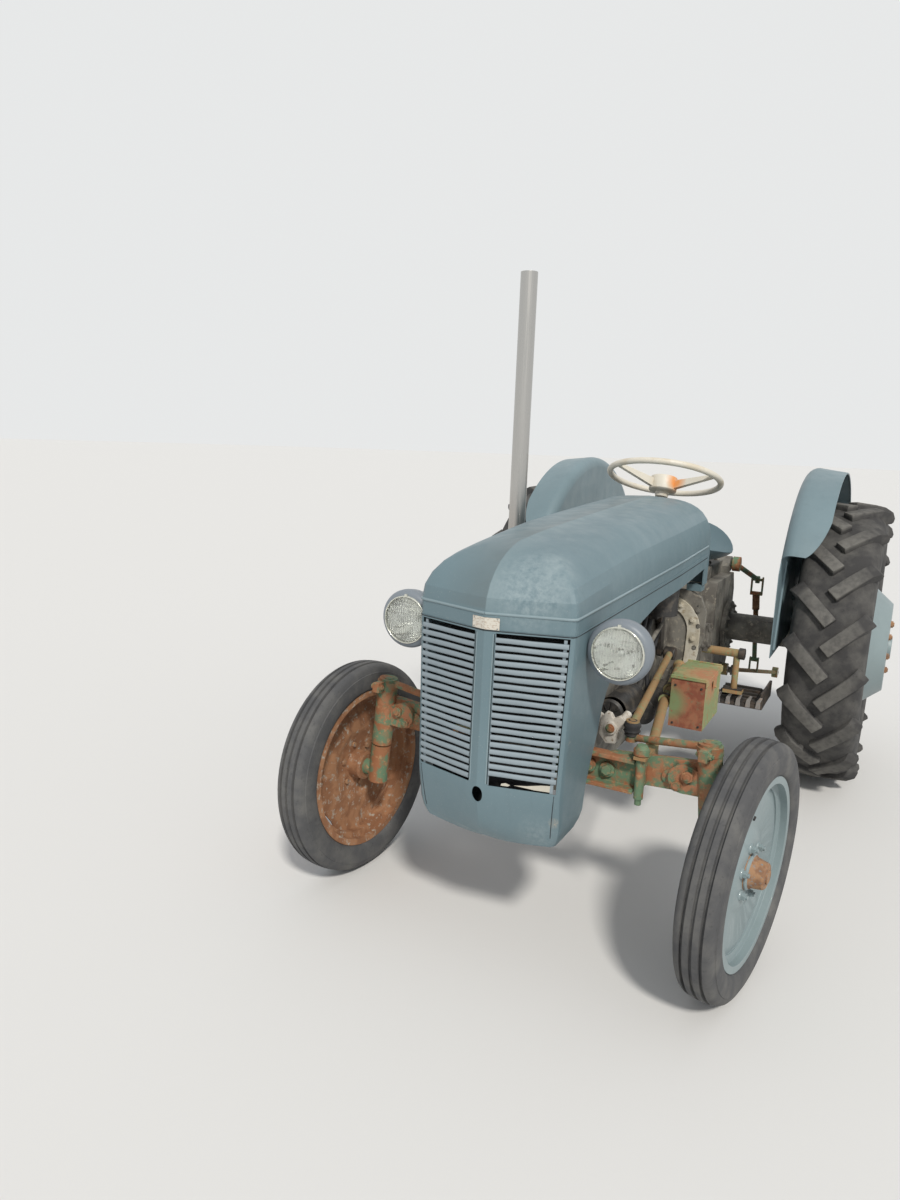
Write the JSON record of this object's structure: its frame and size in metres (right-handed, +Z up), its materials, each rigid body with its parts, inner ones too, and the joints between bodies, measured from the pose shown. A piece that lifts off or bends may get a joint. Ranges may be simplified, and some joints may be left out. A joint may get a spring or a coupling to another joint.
{
  "type": "vintage tractor",
  "caption": "Small vintage farm tractor with a V-shaped louvred nose, tilting bonnet, upright exhaust, steered front wheels, large lugged rear wheels and a rear three-point linkage.",
  "frame": {"origin": "middle of the machine on the ground under its bounding box", "axes": "-Y forward, +Y to the rear, +X to the tractor's left, +Z up"},
  "size_m": [1.748, 2.9103, 1.9601],
  "materials": {
    "paint": "satin, chalky and dusty",
    "old_green": "old paint over heavy rust",
    "casting": "dirty grey paint",
    "black": "dirty black paint",
    "rust": "rusty",
    "stainless": "brushed",
    "glass": "fluted",
    "cream": "worn",
    "tyre": "cracked, dusty"
  },
  "bodies": {
    "chassis": {"front_bolster": "casting", "radiator": "black", "engine_block": "casting", "cylinder_head": "casting", "oil_sump": "casting", "bell_housing": "casting", "gearbox": "casting", "centre_housing": "casting", "axle_trumpets": "casting", "lift_cover": "casting", "front_axle": "old_green", "axle_ends": "old_green", "radius_rods": "old_green", "steering_box": "casting", "dash_cowl": "paint", "fuel_tank": "black", "seat_pan": "paint", "seat_support": "old_green", "footrests": "old_green", "pedals": "old_green", "gear_lever": "black", "mudguards": "paint", "exhaust_manifold": "rust", "exhaust_stack": "stainless", "air_cleaner": "black", "dynamo": "black", "starter": "black", "water_pump": "casting", "tool_box": "old_green", "pto_shaft": "stainless"},
    "bonnet": {"bonnet_top": "paint", "nose": "paint", "bonnet_hinge": "casting", "grille": "paint", "headlamps": "paint", "headlamp_glass": "glass"},
    "steering_wheel": {"steering_wheel": "cream"},
    "knuckle_left": {"knuckle_left": "old_green"},
    "knuckle_right": {"knuckle_right": "old_green"},
    "drop_arm_left": {"drop_arm_left": "old_green"},
    "drop_arm_right": {"drop_arm_right": "old_green"},
    "drag_link_left": {"drag_link_left": "old_green"},
    "drag_link_right": {"drag_link_right": "old_green"},
    "front_wheel_left": {"front_wheel_left": "paint", "front_tyre_left": "tyre"},
    "front_wheel_right": {"front_wheel_right": "rust", "front_tyre_right": "tyre"},
    "rear_wheel_left": {"rear_wheel_left": "paint", "rear_tyre_left": "tyre"},
    "rear_wheel_right": {"rear_wheel_right": "paint", "rear_tyre_right": "tyre"},
    "lift_arms": {"lift_arms": "old_green"},
    "lift_rod_left": {"lift_rod_left": "old_green"},
    "lift_rod_right": {"lift_rod_right": "old_green"},
    "lower_link_left": {"lower_link_left": "old_green"},
    "lower_link_right": {"lower_link_right": "old_green"},
    "tool_box_lid": {"tool_box_lid": "old_green"},
    "fan": {"fan": "black"}
  },
  "joints": [
    {"name": "bonnet_tilt", "type": "hinge", "parent": "chassis", "child": "bonnet", "pos_m": [0, -1.35275, 0.47], "axis": [1, 0, 0], "range_deg": [0, 60]},
    {"name": "steer_left", "type": "hinge", "parent": "chassis", "child": "knuckle_left", "pos_m": [0.53, -1.10275, 0.344], "axis": [-0.1011, 0, 0.9949], "range_deg": [-34, 50]},
    {"name": "steer_right", "type": "hinge", "parent": "chassis", "child": "knuckle_right", "pos_m": [-0.53, -1.10275, 0.344], "axis": [0.1011, 0, 0.9949], "range_deg": [-34, 50]},
    {"name": "steering_wheel_turn", "type": "hinge", "parent": "chassis", "child": "steering_wheel", "pos_m": [0, 0.10748, 1.25821], "axis": [0, 0.3256, 0.9455], "range_deg": [-408, 600]},
    {"name": "drop_arm_left_swing", "type": "hinge", "parent": "chassis", "child": "drop_arm_left", "pos_m": [0, -0.26275, 0.858], "axis": [1, 0, 0], "range_deg": [-56, 38.08]},
    {"name": "drop_arm_right_swing", "type": "hinge", "parent": "chassis", "child": "drop_arm_right", "pos_m": [0, -0.26275, 0.858], "axis": [1, 0, 0], "range_deg": [-38.08, 56]},
    {"name": "drag_link_left_ball", "type": "hinge", "parent": "drop_arm_left", "child": "drag_link_left", "pos_m": [0.166, -0.23015, 0.65763], "axis": [1, 0, 0], "range_deg": [-38.08, 56]},
    {"name": "drag_link_right_ball", "type": "hinge", "parent": "drop_arm_right", "child": "drag_link_right", "pos_m": [-0.166, -0.27932, 0.65568], "axis": [1, 0, 0], "range_deg": [-56, 38.08]},
    {"name": "front_wheel_left_spin", "type": "hinge", "parent": "knuckle_left", "child": "front_wheel_left", "pos_m": [0.60923, -1.11382, 0.34392], "axis": [0.9901, -0.138, -0.0272], "continuous": true},
    {"name": "front_wheel_right_spin", "type": "hinge", "parent": "knuckle_right", "child": "front_wheel_right", "pos_m": [-0.60981, -1.0972, 0.34398], "axis": [0.9973, -0.0692, 0.0264], "continuous": true},
    {"name": "rear_wheel_left_spin", "type": "hinge", "parent": "chassis", "child": "rear_wheel_left", "pos_m": [0.66, 0.67525, 0.6], "axis": [1, 0, 0], "continuous": true},
    {"name": "rear_wheel_right_spin", "type": "hinge", "parent": "chassis", "child": "rear_wheel_right", "pos_m": [-0.66, 0.67525, 0.6], "axis": [1, 0, 0], "continuous": true},
    {"name": "lower_link_left_lift", "type": "hinge", "parent": "chassis", "child": "lower_link_left", "pos_m": [0.202, 0.64725, 0.4], "axis": [1, 0, 0], "range_deg": [0, 41]},
    {"name": "lower_link_right_lift", "type": "hinge", "parent": "chassis", "child": "lower_link_right", "pos_m": [-0.202, 0.64725, 0.4], "axis": [1, 0, 0], "range_deg": [0, 41]},
    {"name": "lift_arms_turn", "type": "hinge", "parent": "chassis", "child": "lift_arms", "pos_m": [0, 0.77725, 0.873], "axis": [1, 0, 0], "range_deg": [0, 67]},
    {"name": "lift_rod_left_pivot", "type": "hinge", "parent": "lift_arms", "child": "lift_rod_left", "pos_m": [0.262, 1.00738, 0.77532], "axis": [1, 0, 0], "range_deg": [-67, 0]},
    {"name": "lift_rod_right_pivot", "type": "hinge", "parent": "lift_arms", "child": "lift_rod_right", "pos_m": [-0.262, 1.00738, 0.77532], "axis": [1, 0, 0], "range_deg": [-67, 0]},
    {"name": "tool_box_lid_hinge", "type": "hinge", "parent": "chassis", "child": "tool_box_lid", "pos_m": [0.269, -0.51775, 0.68], "axis": [0, -1, 0], "range_deg": [0, 100]},
    {"name": "fan_spin", "type": "hinge", "parent": "chassis", "child": "fan", "pos_m": [0, -1.13775, 0.8], "axis": [0, 1, 0], "continuous": true}
  ],
  "couplings": [
    {"joint": "steer_right", "follows": "steer_left", "ratio": 1},
    {"joint": "steering_wheel_turn", "follows": "steer_left", "ratio": 12},
    {"joint": "drop_arm_left_swing", "follows": "steer_left", "ratio": -1.12},
    {"joint": "drop_arm_right_swing", "follows": "steer_left", "ratio": 1.12},
    {"joint": "drag_link_left_ball", "follows": "steer_left", "ratio": 1.12},
    {"joint": "drag_link_right_ball", "follows": "steer_left", "ratio": -1.12},
    {"joint": "lower_link_right_lift", "follows": "lower_link_left_lift", "ratio": 1},
    {"joint": "lift_arms_turn", "follows": "lower_link_left_lift", "ratio": 1.634},
    {"joint": "lift_rod_left_pivot", "follows": "lower_link_left_lift", "ratio": -1.634},
    {"joint": "lift_rod_right_pivot", "follows": "lower_link_left_lift", "ratio": -1.634}
  ]
}
